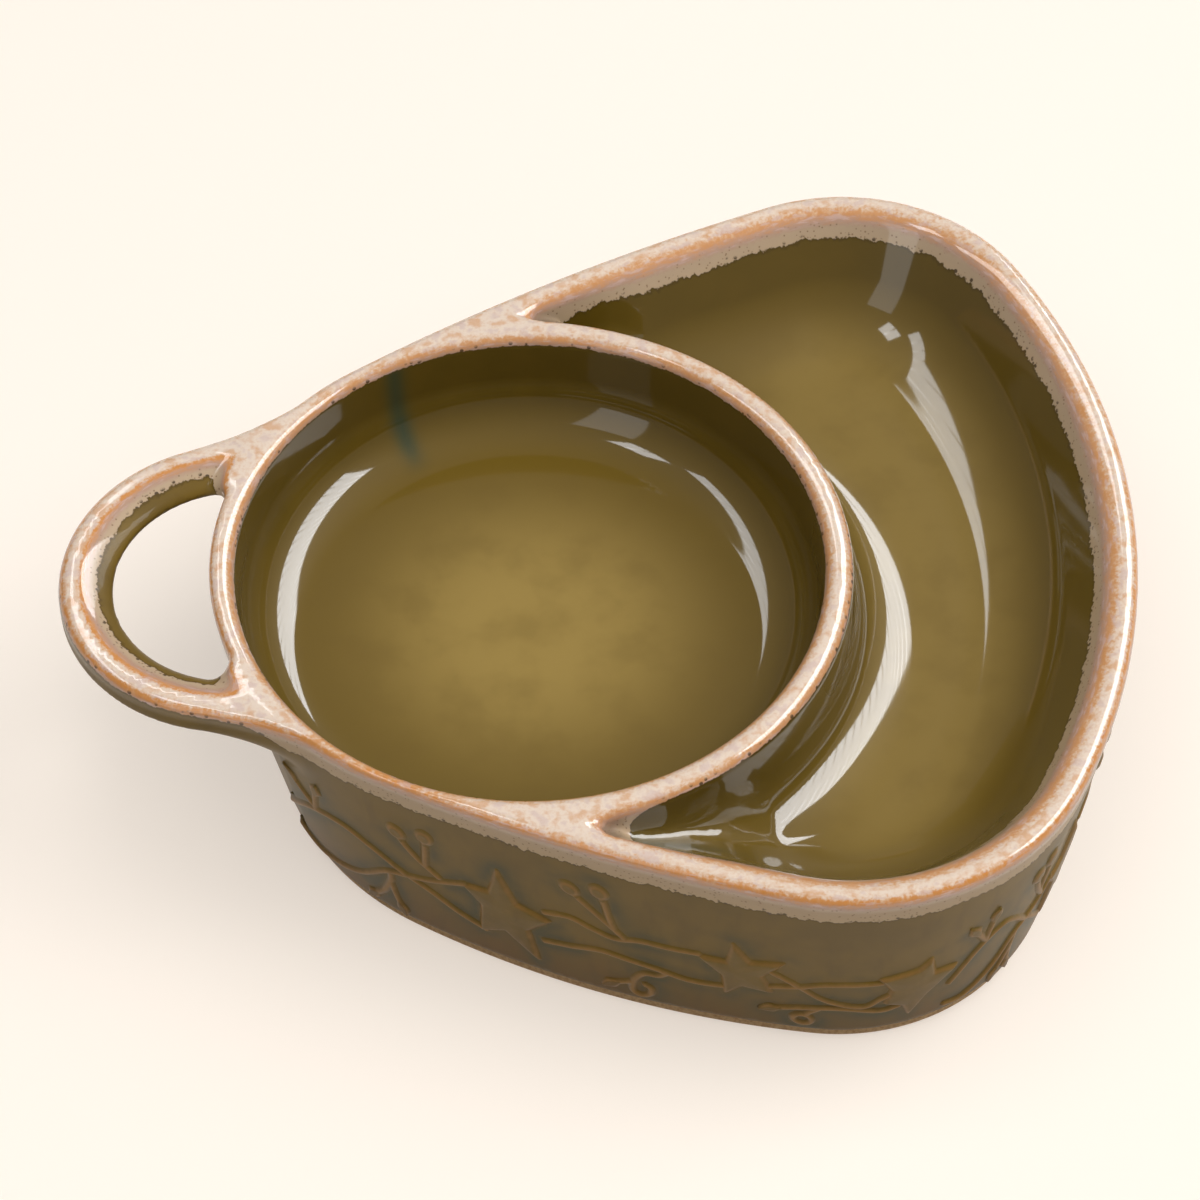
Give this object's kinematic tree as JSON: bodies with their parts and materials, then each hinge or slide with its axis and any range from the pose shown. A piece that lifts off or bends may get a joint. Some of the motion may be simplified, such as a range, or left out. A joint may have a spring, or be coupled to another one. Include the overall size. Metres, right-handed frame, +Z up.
{
  "type": "divided serving dish",
  "caption": "Glazed stoneware serving dish with a round dip bowl, a crescent tray wrapped round one side of it, a finger-loop handle and relief of stars and vine",
  "frame": {"origin": "middle of the underside of the bounding box, on the table", "axes": "+X runs from the handle past the bowl to the broad end of the tray, +Z is up"},
  "size_m": [0.2292, 0.197, 0.06],
  "materials": {
    "olive_glaze": "glossy olive glaze",
    "rim_glaze": "glossy pale glaze broken to amber over the rims",
    "relief_glaze": "glossy amber-olive glaze, thin on the raised edges",
    "bare_clay": "unglazed buff stoneware"
  },
  "bodies": {
    "root": {"base_slab": "olive_glaze", "bowl_divider": "olive_glaze", "bowl_floor": "olive_glaze", "divider_lip": "rim_glaze", "foot_ring": "bare_clay", "handle_loop": "olive_glaze", "outer_lip": "rim_glaze", "outer_wall": "olive_glaze", "star_1": "relief_glaze", "star_10": "relief_glaze", "star_2": "relief_glaze", "star_3": "relief_glaze", "star_4": "relief_glaze", "star_5": "relief_glaze", "star_6": "relief_glaze", "star_7": "relief_glaze", "star_8": "relief_glaze", "star_9": "relief_glaze", "tray_floor": "olive_glaze", "vine_10_1": "relief_glaze", "vine_11_1": "relief_glaze", "vine_11_2": "relief_glaze", "vine_1_1": "relief_glaze", "vine_2_1": "relief_glaze", "vine_2_2": "relief_glaze", "vine_3_1": "relief_glaze", "vine_4_1": "relief_glaze", "vine_5_1": "relief_glaze", "vine_5_2": "relief_glaze", "vine_6_1": "relief_glaze", "vine_7_1": "relief_glaze", "vine_8_1": "relief_glaze", "vine_8_2": "relief_glaze", "vine_9_1": "relief_glaze"}
  },
  "joints": []
}
